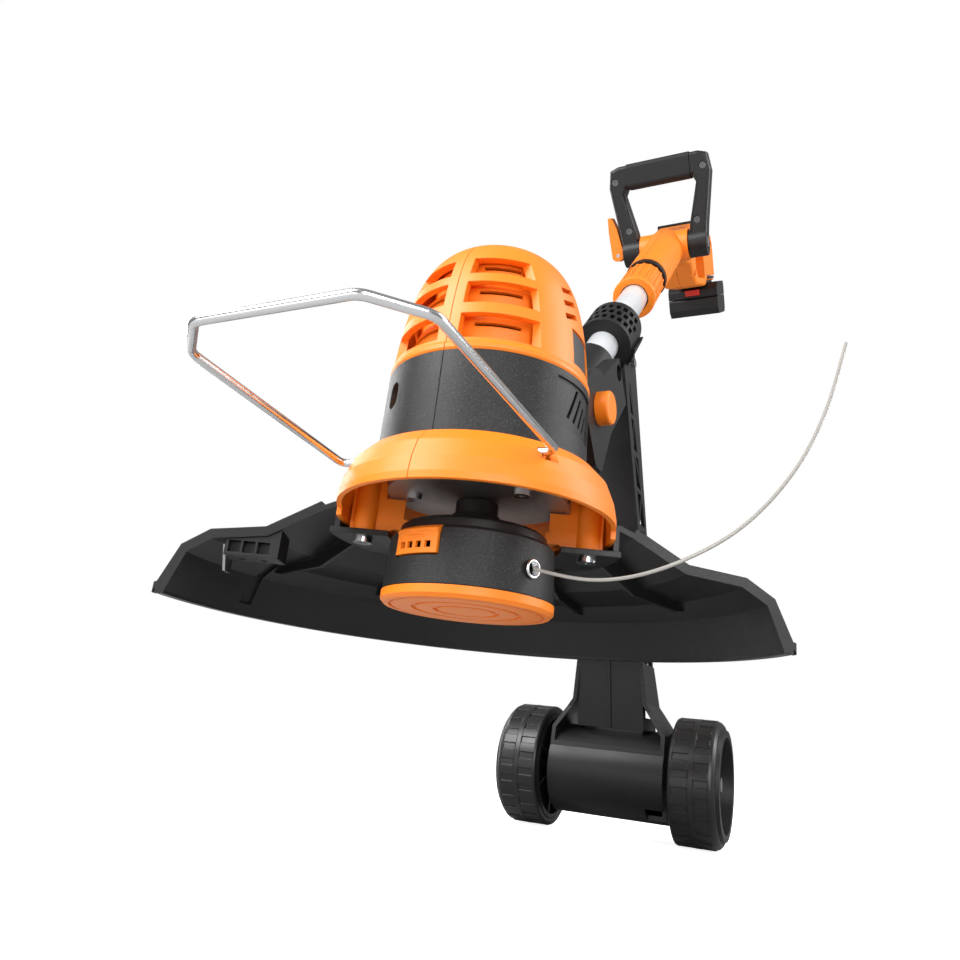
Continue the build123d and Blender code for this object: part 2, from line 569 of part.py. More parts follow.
def axle_clips():
    clip = lambda x: rod(7.5, x - 0.8, x + 0.8, AXLE_Y, AXLE_Z) - rod(AXLE_R, x - 2, x + 2, AXLE_Y, AXLE_Z)
    return Compound([clip(-WHEEL_OUT + 7), clip(WHEEL_OUT - 7)])


TYRE_BLOCKS, TYRE_BLOCK = 24, 6.8


def wheel_hub(side):
    """Rim, a deep dished web and a boss; the dish is open to the outside."""
    width = WHEEL_OUT - WHEEL_IN
    body = turned([(AXLE_R + FIT, 0), (11, 0), (11, 13.5), (36.5, 13.5), (36.5, 0), (40, 0), (40, width - 3),
                   (38.5, width), (34, width), (31, 19), (11, 17), (11, 26), (AXLE_R + FIT, 26)])
    for step in range(6):
        body += Rot(0, 0, 60 * step) * block((10, 37.5), (-1.2, 1.2), (3, 14))
    body = Pos(0, AXLE_Y, AXLE_Z) * Pos(WHEEL_IN, 0, 0) * Rot(0, 90, 0) * body
    return body if side > 0 else mirror(body, Plane.YZ)


def tyre(side):
    """A hard tread with two rows of pockets, half a step apart, and a rounded outer shoulder."""
    floor = WHEEL_R - 0.9
    body = turned([(40.05, 0.6), (43, 0.6), (44.6, 1.2), (WHEEL_R, 2.6), (WHEEL_R, 3), (floor, 3.4), (floor, 14.4),
                   (WHEEL_R, 14.9), (WHEEL_R, 18.4), (floor, 18.9), (floor, 28.4), (WHEEL_R - 0.5, 28.9),
                   (44, 31), (42.2, 32.8), (40.05, 33.2)])
    rows = [turned([(floor - 1, low), (WHEEL_R - 0.1, low), (WHEEL_R - 0.1, high), (floor - 1, high)])
            for low, high in ((2.9, 14.7), (18.6, 28.6))]
    wedge = block((30, 60), (-TYRE_BLOCK / 2, TYRE_BLOCK / 2), (-5, 60))
    for step in range(TYRE_BLOCKS):
        for shift, row in zip((0, 0.5), rows):
            body += Rot(0, 0, 360 / TYRE_BLOCKS * (step + shift)) * (row & wedge)
    body = Pos(0, AXLE_Y, AXLE_Z) * Pos(WHEEL_IN, 0, 0) * Rot(0, 90, 0) * body
    return body if side > 0 else mirror(body, Plane.YZ)


# Rear handle --------------------------------------------------------------------------------------
HANDLE_OUTLINE = [(-6, 14), (34, 21), (64, 27), (112, 28), (150, 25), (190, 24), (212, 20), (221, 6), (222, -39.6),
                  (148, -39.6), (140, -46), (72, -44), (56, -34), (44, -20), (10, -17), (-6, -14)]
FINGER_HOLE = [(72, -5), (104, -6), (130, -9), (135, -15), (134, -33), (128, -37), (80, -35), (70, -26)]
BATTERY_U, BATTERY_HALF = (152.0, 218.0), 31.0
BATTERY_LOW, BATTERY_SEAM = -83.0, -60.0
RAIL_HALF = 17.0
LOCK_OFF = (60, 9)
HANDLE_SCREWS = ((44, 2), (60, -30), (142, -2), (208, 8))


def handle_body():
    """Both clam shells as one: the neck on the sleeve, the loop handle's boss and the rear grip."""
    profile = rounded(HANDLE_OUTLINE, 5)
    hole = rounded(FINGER_HOLE, 4)
    body = rear_plate(profile, -HANDLE_HALF, HANDLE_HALF)
    long_edges = [e for e in body.edges() if e.length < 400 and abs(e.center().X) > HANDLE_HALF - 0.1]
    body = fillet(long_edges, 4)
    body -= rear_plate(hole, -40, 40)
    body -= rear_plate(offset(profile, -3) - offset(hole, 3), -HANDLE_HALF + 3, HANDLE_HALF - 3)
    body += TUBE * disc(20.5, NUT_AT + 63.3, BOSS_AT)
    body += rod(17, -26, 26, BOSS_Y, BOSS_Z)
    body -= TUBE * disc(17.03, NUT_AT, BOSS_AT - 19.9)
    body -= rod(4.1, -50, 50, BOSS_Y, BOSS_Z)
    # trigger slot, lock-off bore and battery rail channel
    body -= rear_plate(outline([(80, -12), (118, -12), (118, 4), (80, 4)]), -8, 8)
    body -= rear_plate(Pos(*LOCK_OFF) * Circle(5.6), -40, 40)
    body -= rear_plate(Pos(88, 1) * Circle(2.05), -12.5, 12.5)
    body -= rear_plate(outline([(151, -45), (240, -45), (240, -33.0), (151, -33.0)]), -RAIL_HALF - 0.4, RAIL_HALF + 0.4)
    body -= rear_plate(outline([(151, -37.5), (240, -37.5), (240, -33.0), (151, -33.0)]), -RAIL_HALF - 3.4, RAIL_HALF + 3.4)
    body -= rear_plate(outline([(155.6, -36), (176.4, -36), (176.4, -11.6), (155.6, -11.6)]), -12.4, 12.4)
    for u, v in HANDLE_SCREWS:
        body += rear_plate(Pos(u, v) * Circle(4.2), -HANDLE_HALF + 3, HANDLE_HALF - 3)
    for u, v in HANDLE_SCREWS:
        body -= REAR.location * Pos(u, v, 10) * screw_room(3.6, 2.4, 1.6, 16)
    return body


def handle_screws():
    one = screw(3.6, 2.4, 1.6, 16)
    return Compound([REAR.location * Pos(u, v, 10) * one for u, v in HANDLE_SCREWS])


def rear_grip():
    """Soft cover moulded over the top of the rear handle."""
    top = outline([(72, 30.6), (112, 31.4), (150, 28.6), (188, 27.4), (188, 8), (150, 10), (112, 12), (72, 11)])
    skin = rear_plate(top, -HANDLE_HALF - 1.6, HANDLE_HALF + 1.6)
    trimmed = rear_plate(rounded(HANDLE_OUTLINE, 5), -HANDLE_HALF - 0.02, HANDLE_HALF + 0.02)
    return skin - trimmed


def trigger():
    face = outline([(84, 3), (84, -9), (88, -15), (98, -19), (108, -20), (113, -16), (114, -4), (114, 3)])
    body = rear_plate(face, -7, 7)
    return body + rear_plate(Pos(88, 1) * Circle(4.5), -7, 7) + rear_plate(Pos(88, 1) * Circle(2.0), -12, 12)


def switch_and_terminals():
    """The trigger's switch, and the block whose three blades reach down into the battery."""
    switch = rear_plate(outline([(92, 7), (134, 7), (134, 20), (92, 20)]), -9, 9)
    switch += rear_plate(outline([(104, 5.6), (110, 5.6), (110, 7), (104, 7)]), -3, 3)
    terminals = rear_plate(outline([(156, -30), (176, -30), (176, -12), (156, -12)]), -12, 12)
    for x in (-8, 0, 8):
        terminals += rear_plate(outline([(161, -37.2), (174, -37.2), (174, -29), (161, -29)]), x - 0.6, x + 0.6)
    return Compound([switch, terminals])


def lock_off_button():
    body = rear_plate(Pos(*LOCK_OFF) * Circle(5.5), -HANDLE_HALF - 3, HANDLE_HALF + 3)
    return body


# Battery ------------------------------------------------------------------------------------------
def battery_case():
    u0, u1 = BATTERY_U
    low = rounded([(u0, BATTERY_SEAM - 0.3), (u1, BATTERY_SEAM - 0.3), (u1, BATTERY_LOW + 6), (u1 - 6, BATTERY_LOW),
                   (u0 + 8, BATTERY_LOW), (u0, BATTERY_LOW + 8)], 2.5)
    body = rear_plate(low, -BATTERY_HALF, BATTERY_HALF)
    mouth = outline([(u0 + 2.4, -68), (u1 - 2.4, -68), (u1 - 2.4, -58), (u0 + 2.4, -58)])
    return body - rear_plate(offset(low, -2.4) + mouth, -BATTERY_HALF + 2.4, BATTERY_HALF - 2.4)


def battery_lid():
    u0, u1 = BATTERY_U
    top = rounded([(u0, BATTERY_SEAM), (u0, -50), (u0 + 8, -42), (u1 - 4, -42), (u1, -48), (u1, BATTERY_SEAM)], 1.5)
    body = rear_plate(top, -BATTERY_HALF, BATTERY_HALF)
    body -= rear_plate(outline([(u0 + 2.4, -61), (u1 - 2.4, -61), (u1 - 2.4, -57), (u0 + 14, -57),
                                (u0 + 14, -58.6), (u0 + 2.4, -58.6)]), -BATTERY_HALF + 2.4, BATTERY_HALF - 2.4)
    body += rear_plate(outline([(u0 + 6, -42), (u1 - 6, -42), (u1 - 6, -36.5), (u0 + 6, -36.5)]), -RAIL_HALF, RAIL_HALF)
    body += rear_plate(outline([(u0 + 6, -37), (u1 - 6, -37), (u1 - 6, -34), (u0 + 6, -34)]),
                       -RAIL_HALF - 3, RAIL_HALF + 3)
    for x in (-8, 0, 8):
        body -= rear_plate(outline([(u0 - 6, -38), (u0 + 36, -38), (u0 + 36, -20), (u0 - 6, -20)]), x - 1.6, x + 1.6)
    body -= rear_plate(outline([(u0 - 6, -34.6), (u0 + 24, -34.6), (u0 + 24, -20), (u0 - 6, -20)]), -30, 30)
    return body - rear_plate(outline([(u0 - 4, -57), (u0 + 10, -57), (u0 + 10, -49), (u0 - 4, -49)]), -9.4, 9.4)


def battery_cells():
    """Three cells, lying across the pack."""
    u0 = BATTERY_U[0]
    cells = [rear_plate(Pos(u0 + 14 + 19 * column, -70.5) * Circle(9), -27, 27) for column in range(3)]
    return Compound(cells)


def battery_button():
    u0 = BATTERY_U[0]
    return rear_plate(outline([(u0 - 2.6, -56.6), (u0 + 7, -56.6), (u0 + 7, -49.4), (u0 - 2.6, -49.4)]), -9, 9)


# Loop handle --------------------------------------------------------------------------------------
LOOP_OUT = [(-45.5, -2), (-47.5, 18.6), (-55, 72.5), (-52, 91), (-43, 94), (43, 94), (52, 91), (55, 72.5),
            (47.5, 18.6), (45.5, -2)]
LOOP_IN = [(-27, -2), (-29, 20.5), (-39, 63), (-35.5, 70), (35.5, 70), (39, 63), (29, 20.5), (27, -2)]


LOOP_SCREWS = ((47.4, 78, 8), (37.2, 24, 8))


def loop_handle():
    """A D-shaped assist handle on the boss, with a hub at each foot and a thinner core in its top bar."""
    face = outline(LOOP_OUT + list(reversed(LOOP_IN)))
    body = extrude(face, 11, both=True)
    body = fillet([e for e in body.edges() if abs(abs(e.center().Z) - 11) < 0.1 and e.center().Y > 6], 4)
    for x0, x1 in ((-45.5, -26.6), (26.6, 45.5)):
        body += rod(15, x0, x1, 0, 0)
    core = block((-34, 34), (72.4, 91.6), (-8.6, 8.6))
    body -= block((-34, 34), (66, 110), (-20, 20)) - core
    body -= rod(4.1, -60, 60, 0, 0)
    body -= rod(8, 41, 60, 0, 0)
    for side in (-1, 1):
        for x, y, z in LOOP_SCREWS:
            body -= Pos(side * x, y, z) * screw_room(3.4, 2.2, 1.6, 10)
    return LOOP * body


def loop_grip():
    skin = block((-33.8, 33.8), (68.6, 95), (-12, 12))
    skin = fillet(skin.edges().filter_by(Axis.X), 5)
    return LOOP * (skin - block((-36, 36), (72.4, 91.6), (-8.6, 8.6)))


def loop_screws():
    one = screw(3.4, 2.2, 1.6, 10)
    return Compound([LOOP * Pos(side * x, y, z) * one for side in (-1, 1) for x, y, z in LOOP_SCREWS])


EYE_X = -53.0                     # the lever's pin, square to the bolt


def boss_bolt():
    bolt = rod(4.0, EYE_X - 0.5, 42, 0, 0)
    head = Pos(43.5, 0, 0) * Rot(0, 90, 0) * extrude(RegularPolygon(7, 6), 2.5, both=True)
    eye = rod(4.0, EYE_X - 4.5, EYE_X - 0.5, 0, 0) + Pos(EYE_X, 0, 0) * Cylinder(2.0, 15)
    return LOOP * (bolt + head + eye)


def cam_lever():
    """The clamp lever: a forked cam on the bolt's eye and a thumb blade that lies along the loop."""
    face = outline([(EYE_X + x, y) for x, y in ((5.8, -3), (6.3, 6), (4.6, 12), (1.5, 29), (-3.5, 42), (-7.5, 42),
                                                (-8, 27), (-6.5, -3), (-3.5, -5.8), (0, -6.4), (4.4, -4.9))])
    body = extrude(face, 7.5, both=True)
    body -= block((-70, -40), (-12, 6.5), (-4.3, 4.3))
    return LOOP * (body - Pos(EYE_X, 0, 0) * Cylinder(2.06, 30))


# Cutting line -------------------------------------------------------------------------------------
# From the eyelet it sweeps out below the guard's front edge and curls up past it, held by its own stiffness.
LINE_POINTS = [(40.4, -15.9, 18.5), (56, -16, 14.6), (74, -16.2, 13.2), (93, -13.5, 17.2), (112, -7, 27),
               (128.5, 1.6, 39.8), (143, 10.5, 57.8), (156, 18.7, 80), (165.5, 27.6, 106), (171.5, 34.2, 130),
               (175.1, 38, 145.7)]


def line_radii(points):
    radii = []
    for before, here, after in zip(points, points[1:], points[2:]):
        a, b = Vector(*here) - Vector(*before), Vector(*after) - Vector(*here)
        turn = radians(a.get_angle(b))
        radii.append(0.45 * min(a.length, b.length) / tan(turn / 2))
    return radii


def cutting_line():
    path = FilletPolyline(*LINE_POINTS, radius=line_radii(LINE_POINTS))
    start = Plane(origin=path @ 0, z_dir=path % 0)
    tube = sweep(start * Circle(LINE_R), path)
    section = 3.14159265 * LINE_R ** 2
    print("cutting line length", round(path.length, 1), "volume ratio", round(tube.volume / section / path.length, 4))
    print("cutting line radii", [round(r, 1) for r in line_radii(LINE_POINTS)])
    return tube


# Assembly -----------------------------------------------------------------------------------------
def split_pair(name, solid):
    return {name + "_right": half(solid, -1), name + "_left": half(solid, 1)}


def clear(solid, rooms):
    for room in rooms:
        solid -= room
    return solid


def pieces():
    nodes = {"spool_cap": spool_cap(), "spool_drum": drum(), "line_eyelet": eyelet(), "line_reel": reel(),
             "wound_line": wound_line(), "spool_spring": spool_spring(), "drive_hub": drive_hub(),
             "motor_rotor": motor_rotor(), "cutting_line": cutting_line(),
             "cap_tab_front": cap_tab(TAB_TURN), "cap_tab_rear": cap_tab(TAB_TURN + 180)}
    nodes |= {"motor_can": motor_can(), "motor_bearings": bearings(), "motor_plate": motor_plate(),
              "label_plate": label_plate(), "head_screws": head_screws(), "plant_guard": plant_guard()}
    nodes |= split_pair("motor_housing", clear(housing(), neck_screw_rooms()))
    nodes |= split_pair("motor_cover", dome()) | split_pair("skirt", skirt())
    nodes |= {"cutting_guard": guard(), "guard_screws": guard_screws(), "blade_holder": blade_holder(),
              "line_blade": line_blade()}
    nodes |= {"tilt_yoke": yoke(), "tilt_pin": tilt_pin(), "tilt_button": tilt_button(),
              "tilt_spring": tilt_spring(), "tube_bolts": tube_bolts(), "lower_tube": lower_tube(),
              "tube_bush": tube_bush(), "lock_nut": lock_nut(), "outer_sleeve": outer_sleeve()}
    nodes |= {"arm_clamp": arm_clamp(), "wheel_arm": wheel_arm(), "axle": axle(),
              "axle_clips": axle_clips()}
    for name, side in (("right", -1), ("left", 1)):
        nodes |= {"wheel_hub_" + name: wheel_hub(side), "tyre_" + name: tyre(side)}
    nodes |= split_pair("handle_shell", handle_body())
    nodes |= {"handle_screws": handle_screws(), "rear_grip": rear_grip(), "trigger": trigger(),
              "switch_and_terminals": switch_and_terminals(), "lock_off_button": lock_off_button(),
              "battery_case": battery_case(), "battery_lid": battery_lid(),
              "battery_cells": battery_cells(), "battery_button": battery_button()}
    nodes |= {"loop_handle": loop_handle(), "loop_grip": loop_grip(), "loop_screws": loop_screws(),
              "boss_bolt": boss_bolt(), "cam_lever": cam_lever()}
    return nodes


for node, solid in pieces().items():
    export_step(solid, "parts/" + node + ".step")
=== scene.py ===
import bpy
import bmesh
import json
from math import cos, sin, tan, radians, pi
from mathutils import Matrix, Vector


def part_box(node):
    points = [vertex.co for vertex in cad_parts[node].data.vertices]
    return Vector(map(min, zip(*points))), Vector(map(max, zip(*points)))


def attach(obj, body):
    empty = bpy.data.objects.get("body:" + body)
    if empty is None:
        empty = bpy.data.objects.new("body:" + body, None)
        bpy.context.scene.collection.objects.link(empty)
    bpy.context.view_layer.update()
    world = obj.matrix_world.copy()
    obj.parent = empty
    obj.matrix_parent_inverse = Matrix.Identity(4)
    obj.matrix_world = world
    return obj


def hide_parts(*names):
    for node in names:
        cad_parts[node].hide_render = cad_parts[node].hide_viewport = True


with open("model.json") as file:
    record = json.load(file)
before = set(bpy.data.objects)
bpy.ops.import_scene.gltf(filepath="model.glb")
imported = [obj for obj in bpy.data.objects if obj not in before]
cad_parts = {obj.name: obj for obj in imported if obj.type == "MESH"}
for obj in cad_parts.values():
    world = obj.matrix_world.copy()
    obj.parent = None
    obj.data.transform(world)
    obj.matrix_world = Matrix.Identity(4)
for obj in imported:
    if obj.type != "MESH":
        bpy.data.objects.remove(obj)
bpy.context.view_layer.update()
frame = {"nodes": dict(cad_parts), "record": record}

scene = bpy.context.scene
MM = 0.001

# Viewpoint ----------------------------------------------------------------------------------------
# The trimmer is looked up at from low down, close in front of the spool and a little to its left,
# so the head is large and the handle far away. The view is rolled a few degrees.
yaw, pitch, roll = radians(26.5), radians(17.5), radians(6.0)
ahead = Vector((-sin(yaw) * cos(pitch), cos(yaw) * cos(pitch), sin(pitch)))
level = Vector((cos(yaw), sin(yaw), 0))
rise = level.cross(ahead)
right = level * cos(roll) + rise * sin(roll)
up = rise * cos(roll) - level * sin(roll)
viewpoint = Vector((172.85, -346.70, -53.38)) * MM

camera_data = bpy.data.cameras.new("viewpoint")
camera_data.lens = 29.25
camera_data.sensor_width = 36.0
camera_data.clip_start, camera_data.clip_end = 0.01, 50
camera = bpy.data.objects.new("viewpoint", camera_data)
turn = Matrix((right, up, -ahead)).transposed().to_4x4()
camera.matrix_world = Matrix.Translation(viewpoint) @ turn
scene.collection.objects.link(camera)
scene.camera = camera


# Cutting line -------------------------------------------------------------------------------------
# One length of clear 1.7 mm nylon monofilament. It leaves the spool through the steel eyelet and
# curls up past the guard, held by its own stiffness. Its end is cut off square.
def new_material(name):
    """A material with one Principled shader. Returns it, its nodes, its links and the shader."""
    material = bpy.data.materials.new(name)
    material.use_nodes = True
    nodes, links = material.node_tree.nodes, material.node_tree.links
    return material, nodes, links, nodes["Principled BSDF"]


line_points = [(40.4, -15.9, 18.5), (56, -16, 14.6), (74, -16.2, 13.2), (93, -13.5, 17.2), (112, -7, 27),
               (128.5, 1.6, 39.8), (143, 10.5, 57.8), (156, 18.7, 80), (165.5, 27.6, 106), (171.5, 34.2, 130),
               (175.1, 38, 145.7)]
line_width = 1.7 * MM
line_curve = bpy.data.curves.new("nylon_line", "CURVE")
line_curve.dimensions = "3D"
line_curve.bevel_depth = line_width / 2
line_curve.bevel_resolution = 6
line_curve.resolution_u = 10
line_curve.use_fill_caps = True
strand = line_curve.splines.new("NURBS")
strand.points.add(len(line_points) - 1)
for point, (x, y, z) in zip(strand.points, line_points):
    point.co = (x * MM, y * MM, z * MM, 1)
strand.order_u = 3
strand.use_endpoint_u = True
cutting_line = bpy.data.objects.new("nylon_line", line_curve)
scene.collection.objects.link(cutting_line)

clear_nylon, _, _, shader = new_material("clear nylon")
shader.inputs["Base Color"].default_value = (0.42, 0.40, 0.37, 1)
shader.inputs["Roughness"].default_value = 0.22
shader.inputs["Transmission Weight"].default_value = 0.15
shader.inputs["IOR"].default_value = 1.5
cutting_line.data.materials.append(clear_nylon)

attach(cutting_line, "spool")
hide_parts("cutting_line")


# Floor and light ----------------------------------------------------------------------------------
# A white studio: the edging wheels stand on a plain white floor that runs out into a white
# surround, with a large soft box at the upper left front and smaller ones that draw the edges.
floor_gap, floor_size = 0.0004, 30          # metres under the tyres, and out to each side
floor_glow, floor_bounce, surround_glow = 0.86, 0.42, 0.34
scene.view_settings.view_transform = "Standard"
floor_level = min(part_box("tyre_left")[0][2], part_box("tyre_right")[0][2])
floor_mesh = bpy.data.meshes.new("floor")
floor_mesh.from_pydata([(x * floor_size, y * floor_size, floor_level - floor_gap)
                        for x, y in ((-1, -1), (1, -1), (1, 1), (-1, 1))], [], [(0, 1, 2, 3)])
floor = bpy.data.objects.new("floor", floor_mesh)
scene.collection.objects.link(floor)
white_floor, nodes, links, shader = new_material("white floor")
shader.inputs["Base Color"].default_value = (0.95, 0.95, 0.95, 1)
shader.inputs["Roughness"].default_value = 1
shader.inputs["Specular IOR Level"].default_value = 0
shader.inputs["Emission Color"].default_value = (1, 1, 1, 1)
shader.inputs["Emission Strength"].default_value = floor_glow
bounce = nodes.new("ShaderNodeBsdfDiffuse")
bounce.inputs["Color"].default_value = (floor_bounce, floor_bounce, floor_bounce, 1)
seen = nodes.new("ShaderNodeLightPath")
either = nodes.new("ShaderNodeMixShader")
links.new(seen.outputs["Is Camera Ray"], either.inputs["Fac"])
links.new(bounce.outputs[0], either.inputs[1])
links.new(shader.outputs[0], either.inputs[2])
links.new(either.outputs[0], nodes["Material Output"].inputs["Surface"])
floor.data.materials.append(white_floor)

world = bpy.data.worlds.new("white studio")
scene.world = world
world.use_nodes = True
world_nodes, world_links = world.node_tree.nodes, world.node_tree.links
backdrop = world_nodes["Background"]
backdrop.inputs["Color"].default_value = (1, 1, 1, 1)
backdrop.inputs["Strength"].default_value = 1.0
surround = world_nodes.new("ShaderNodeBackground")
surround.inputs["Strength"].default_value = surround_glow
sky = world_nodes.new("ShaderNodeTexCoord")
sky_height = world_nodes.new("ShaderNodeSeparateXYZ")
sky_ramp = world_nodes.new("ShaderNodeValToRGB")
sky_stops = (0.2, (0.35, 0.35, 0.36, 1)), (0.9, (1, 1, 1, 1))
for element, (position, colour) in zip(sky_ramp.color_ramp.elements, sky_stops):
    element.position, element.color = position, colour
sky_lift = world_nodes.new("ShaderNodeMapRange")
sky_lift.inputs["From Min"].default_value = -1
world_links.new(sky.outputs["Generated"], sky_height.inputs[0])
world_links.new(sky_height.outputs["Z"], sky_lift.inputs["Value"])
world_links.new(sky_lift.outputs[0], sky_ramp.inputs["Fac"])
world_links.new(sky_ramp.outputs["Color"], surround.inputs["Color"])
eye_ray = world_nodes.new("ShaderNodeLightPath")
choice = world_nodes.new("ShaderNodeMixShader")
world_links.new(eye_ray.outputs["Is Camera Ray"], choice.inputs["Fac"])
world_links.new(surround.outputs[0], choice.inputs[1])
world_links.new(backdrop.outputs[0], choice.inputs[2])
world_links.new(choice.outputs[0], world_nodes["World Output"].inputs["Surface"])


def soft_box(name, place, target, width, height, power):
    """A rectangular lamp at a place, facing a target: metres and watts."""
    light = bpy.data.lights.new(name, "AREA")
    light.shape, light.size, light.size_y, light.energy = "RECTANGLE", width, height, power
    lamp = bpy.data.objects.new(name, light)
    lamp.location = place
    lamp.rotation_euler = (Vector(target) - Vector(place)).to_track_quat("-Z", "Y").to_euler()
    scene.collection.objects.link(lamp)


soft_box("key", (-0.7, -1.0, 1.1), (0, 0, 0.05), 0.9, 0.9, 34)
soft_box("front fill", (0.9, -1.2, 0.45), (0, 0.05, 0.08), 0.7, 0.9, 14)
soft_box("side strip", (1.1, 0.6, 0.7), (0.05, 0.15, 0.2), 0.4, 1.4, 16)
soft_box("left strip", (-1.2, 0.5, 0.5), (0, 0.15, 0.1), 0.35, 1.2, 10)
soft_box("low fill", (-0.25, -0.8, -0.10), (0, 0.1, 0.0), 0.7, 0.35, 2.2)


# Shells -------------------------------------------------------------------------------------------
# Moulded glass filled nylon: orange for the motor cover, skirt, cap, lock nut, rear handle, cam
# lever and tilt button, black for the rest. The mould's fine spark texture is on every face, and
# edges are slightly rounded.
def new_group(name, ins, outs):
    """An empty shader group with these sockets. Returns it, its input and output nodes."""
    group = bpy.data.node_groups.new(name, "ShaderNodeTree")
    for label, kind, value in ins:
        socket = group.interface.new_socket(label, in_out="INPUT", socket_type=kind)
        socket.default_value = value
    for label, kind in outs:
        group.interface.new_socket(label, in_out="OUTPUT", socket_type=kind)
    return group, group.nodes.new("NodeGroupInput"), group.nodes.new("NodeGroupOutput")


spark_texture, given, result = new_group(
    "spark texture",
    [("Grain per Metre", "NodeSocketFloat", 1600), ("Grain Depth", "NodeSocketFloat", 0.3),
     ("Edge Radius", "NodeSocketFloat", 0.0006), ("Speckle", "NodeSocketFloat", 0.1),
     ("Base Roughness", "NodeSocketFloat", 0.5)],
    [("Normal", "NodeSocketVector"), ("Roughness", "NodeSocketFloat"), ("Speckles", "NodeSocketFloat")])
tree, wire = spark_texture.nodes, spark_texture.links
place = tree.new("ShaderNodeTexCoord")
grain = tree.new("ShaderNodeTexNoise")
grain.inputs["Detail"].default_value = 2
grain.inputs["Roughness"].default_value = 0.6
wire.new(place.outputs["Object"], grain.inputs["Vector"])
wire.new(given.outputs["Grain per Metre"], grain.inputs["Scale"])
edges = tree.new("ShaderNodeBevel")
edges.samples = 4
wire.new(given.outputs["Edge Radius"], edges.inputs["Radius"])
relief = tree.new("ShaderNodeBump")
relief.inputs["Distance"].default_value = 0.0004
wire.new(given.outputs["Grain Depth"], relief.inputs["Strength"])
wire.new(grain.outputs["Fac"], relief.inputs["Height"])
wire.new(edges.outputs["Normal"], relief.inputs["Normal"])
wire.new(relief.outputs["Normal"], result.inputs["Normal"])
mottle = tree.new("ShaderNodeTexNoise")
mottle.inputs["Scale"].default_value = 45
mottle.inputs["Detail"].default_value = 3
wire.new(place.outputs["Object"], mottle.inputs["Vector"])
uneven = tree.new("ShaderNodeMath")
uneven.operation = "MULTIPLY_ADD"
uneven.inputs[1].default_value = 0.12
wire.new(mottle.outputs["Fac"], uneven.inputs[0])
wire.new(given.outputs["Base Roughness"], uneven.inputs[2])
wire.new(uneven.outputs[0], result.inputs["Roughness"])
dots = tree.new("ShaderNodeMapRange")
dots.inputs["From Min"].default_value = 0.56
dots.inputs["From Max"].default_value = 0.74
wire.new(grain.outputs["Fac"], dots.inputs["Value"])
strength = tree.new("ShaderNodeMath")
strength.operation = "MULTIPLY"
wire.new(dots.outputs[0], strength.inputs[0])
wire.new(given.outputs["Speckle"], strength.inputs[1])
wire.new(strength.outputs[0], result.inputs["Speckles"])


def moulded(name, colour, light, roughness, grain_scale, depth, speckle, edge=0.0006, specular=0.5):
    """A moulded plastic: a colour, the paler colour of its speckles, and how rough and grainy it is."""
    material, nodes, links, shader = new_material(name)
    skin = nodes.new("ShaderNodeGroup")
    skin.node_tree = spark_texture
    skin.inputs["Grain per Metre"].default_value = grain_scale
    skin.inputs["Grain Depth"].default_value = depth
    skin.inputs["Edge Radius"].default_value = edge
    skin.inputs["Speckle"].default_value = speckle
    skin.inputs["Base Roughness"].default_value = roughness
    tint = nodes.new("ShaderNodeMix")
    tint.data_type = "RGBA"
    tint.inputs["A"].default_value = (*colour, 1)
    tint.inputs["B"].default_value = (*light, 1)
    links.new(skin.outputs["Speckles"], tint.inputs["Factor"])
    links.new(tint.outputs["Result"], shader.inputs["Base Color"])
    links.new(skin.outputs["Roughness"], shader.inputs["Roughness"])
    links.new(skin.outputs["Normal"], shader.inputs["Normal"])
    shader.inputs["Specular IOR Level"].default_value = specular
    return material


def wear(material, *names):
    """Gives a material to these CAD nodes."""
    for name in names:
        node = frame["nodes"][name]
        node.data.materials.clear()
        node.data.materials.append(material)


orange = moulded("orange nylon", (0.95, 0.225, 0.006), (1.0, 0.36, 0.03), 0.40, 1500, 0.16, 0.25)
black = moulded("black nylon", (0.007, 0.007, 0.0073), (0.04, 0.04, 0.04), 0.36, 1500, 0.20, 0.25,
                specular=0.4)
grey_black = moulded("speckled black nylon", (0.006, 0.006, 0.0063), (0.15, 0.15, 0.145),
                     0.40, 1900, 0.5, 0.45, specular=0.4)
wear(orange, "motor_cover_left", "motor_cover_right", "skirt_left", "skirt_right", "spool_cap",
     "cap_tab_front", "cap_tab_rear", "tilt_button", "handle_shell_left", "handle_shell_right",
     "cam_lever")
wear(grey_black, "motor_housing_left", "motor_housing_right", "spool_drum")
wear(black, "drive_hub", "cutting_guard", "blade_holder", "tilt_yoke", "wheel_arm", "arm_clamp",
     "wheel_hub_left", "wheel_hub_right", "outer_sleeve", "loop_handle", "battery_case", "battery_lid",
     "switch_and_terminals", "tube_bush", "lock_off_button", "trigger")


# Lock nut -----------------------------------------------------------------------------------------
# The orange collar that screws down on the bush and locks the shaft's length and twist. A thin
# turned sleeve, flared at its mouth, with moulded grip ribs all round.
def tree_of_nodes(name, ins):
    """A Geometry Nodes tree with one geometry in and out, and these named inputs."""
    made = bpy.data.node_groups.new(name, "GeometryNodeTree")
    made.interface.new_socket("Geometry", in_out="INPUT", socket_type="NodeSocketGeometry")
    sockets = {}
    for label, kind in ins:
        sockets[label] = made.interface.new_socket(label, in_out="INPUT", socket_type=kind).identifier
    made.interface.new_socket("Geometry", in_out="OUTPUT", socket_type="NodeSocketGeometry")
    return made, sockets, made.nodes.new("NodeGroupInput"), made.nodes.new("NodeGroupOutput")


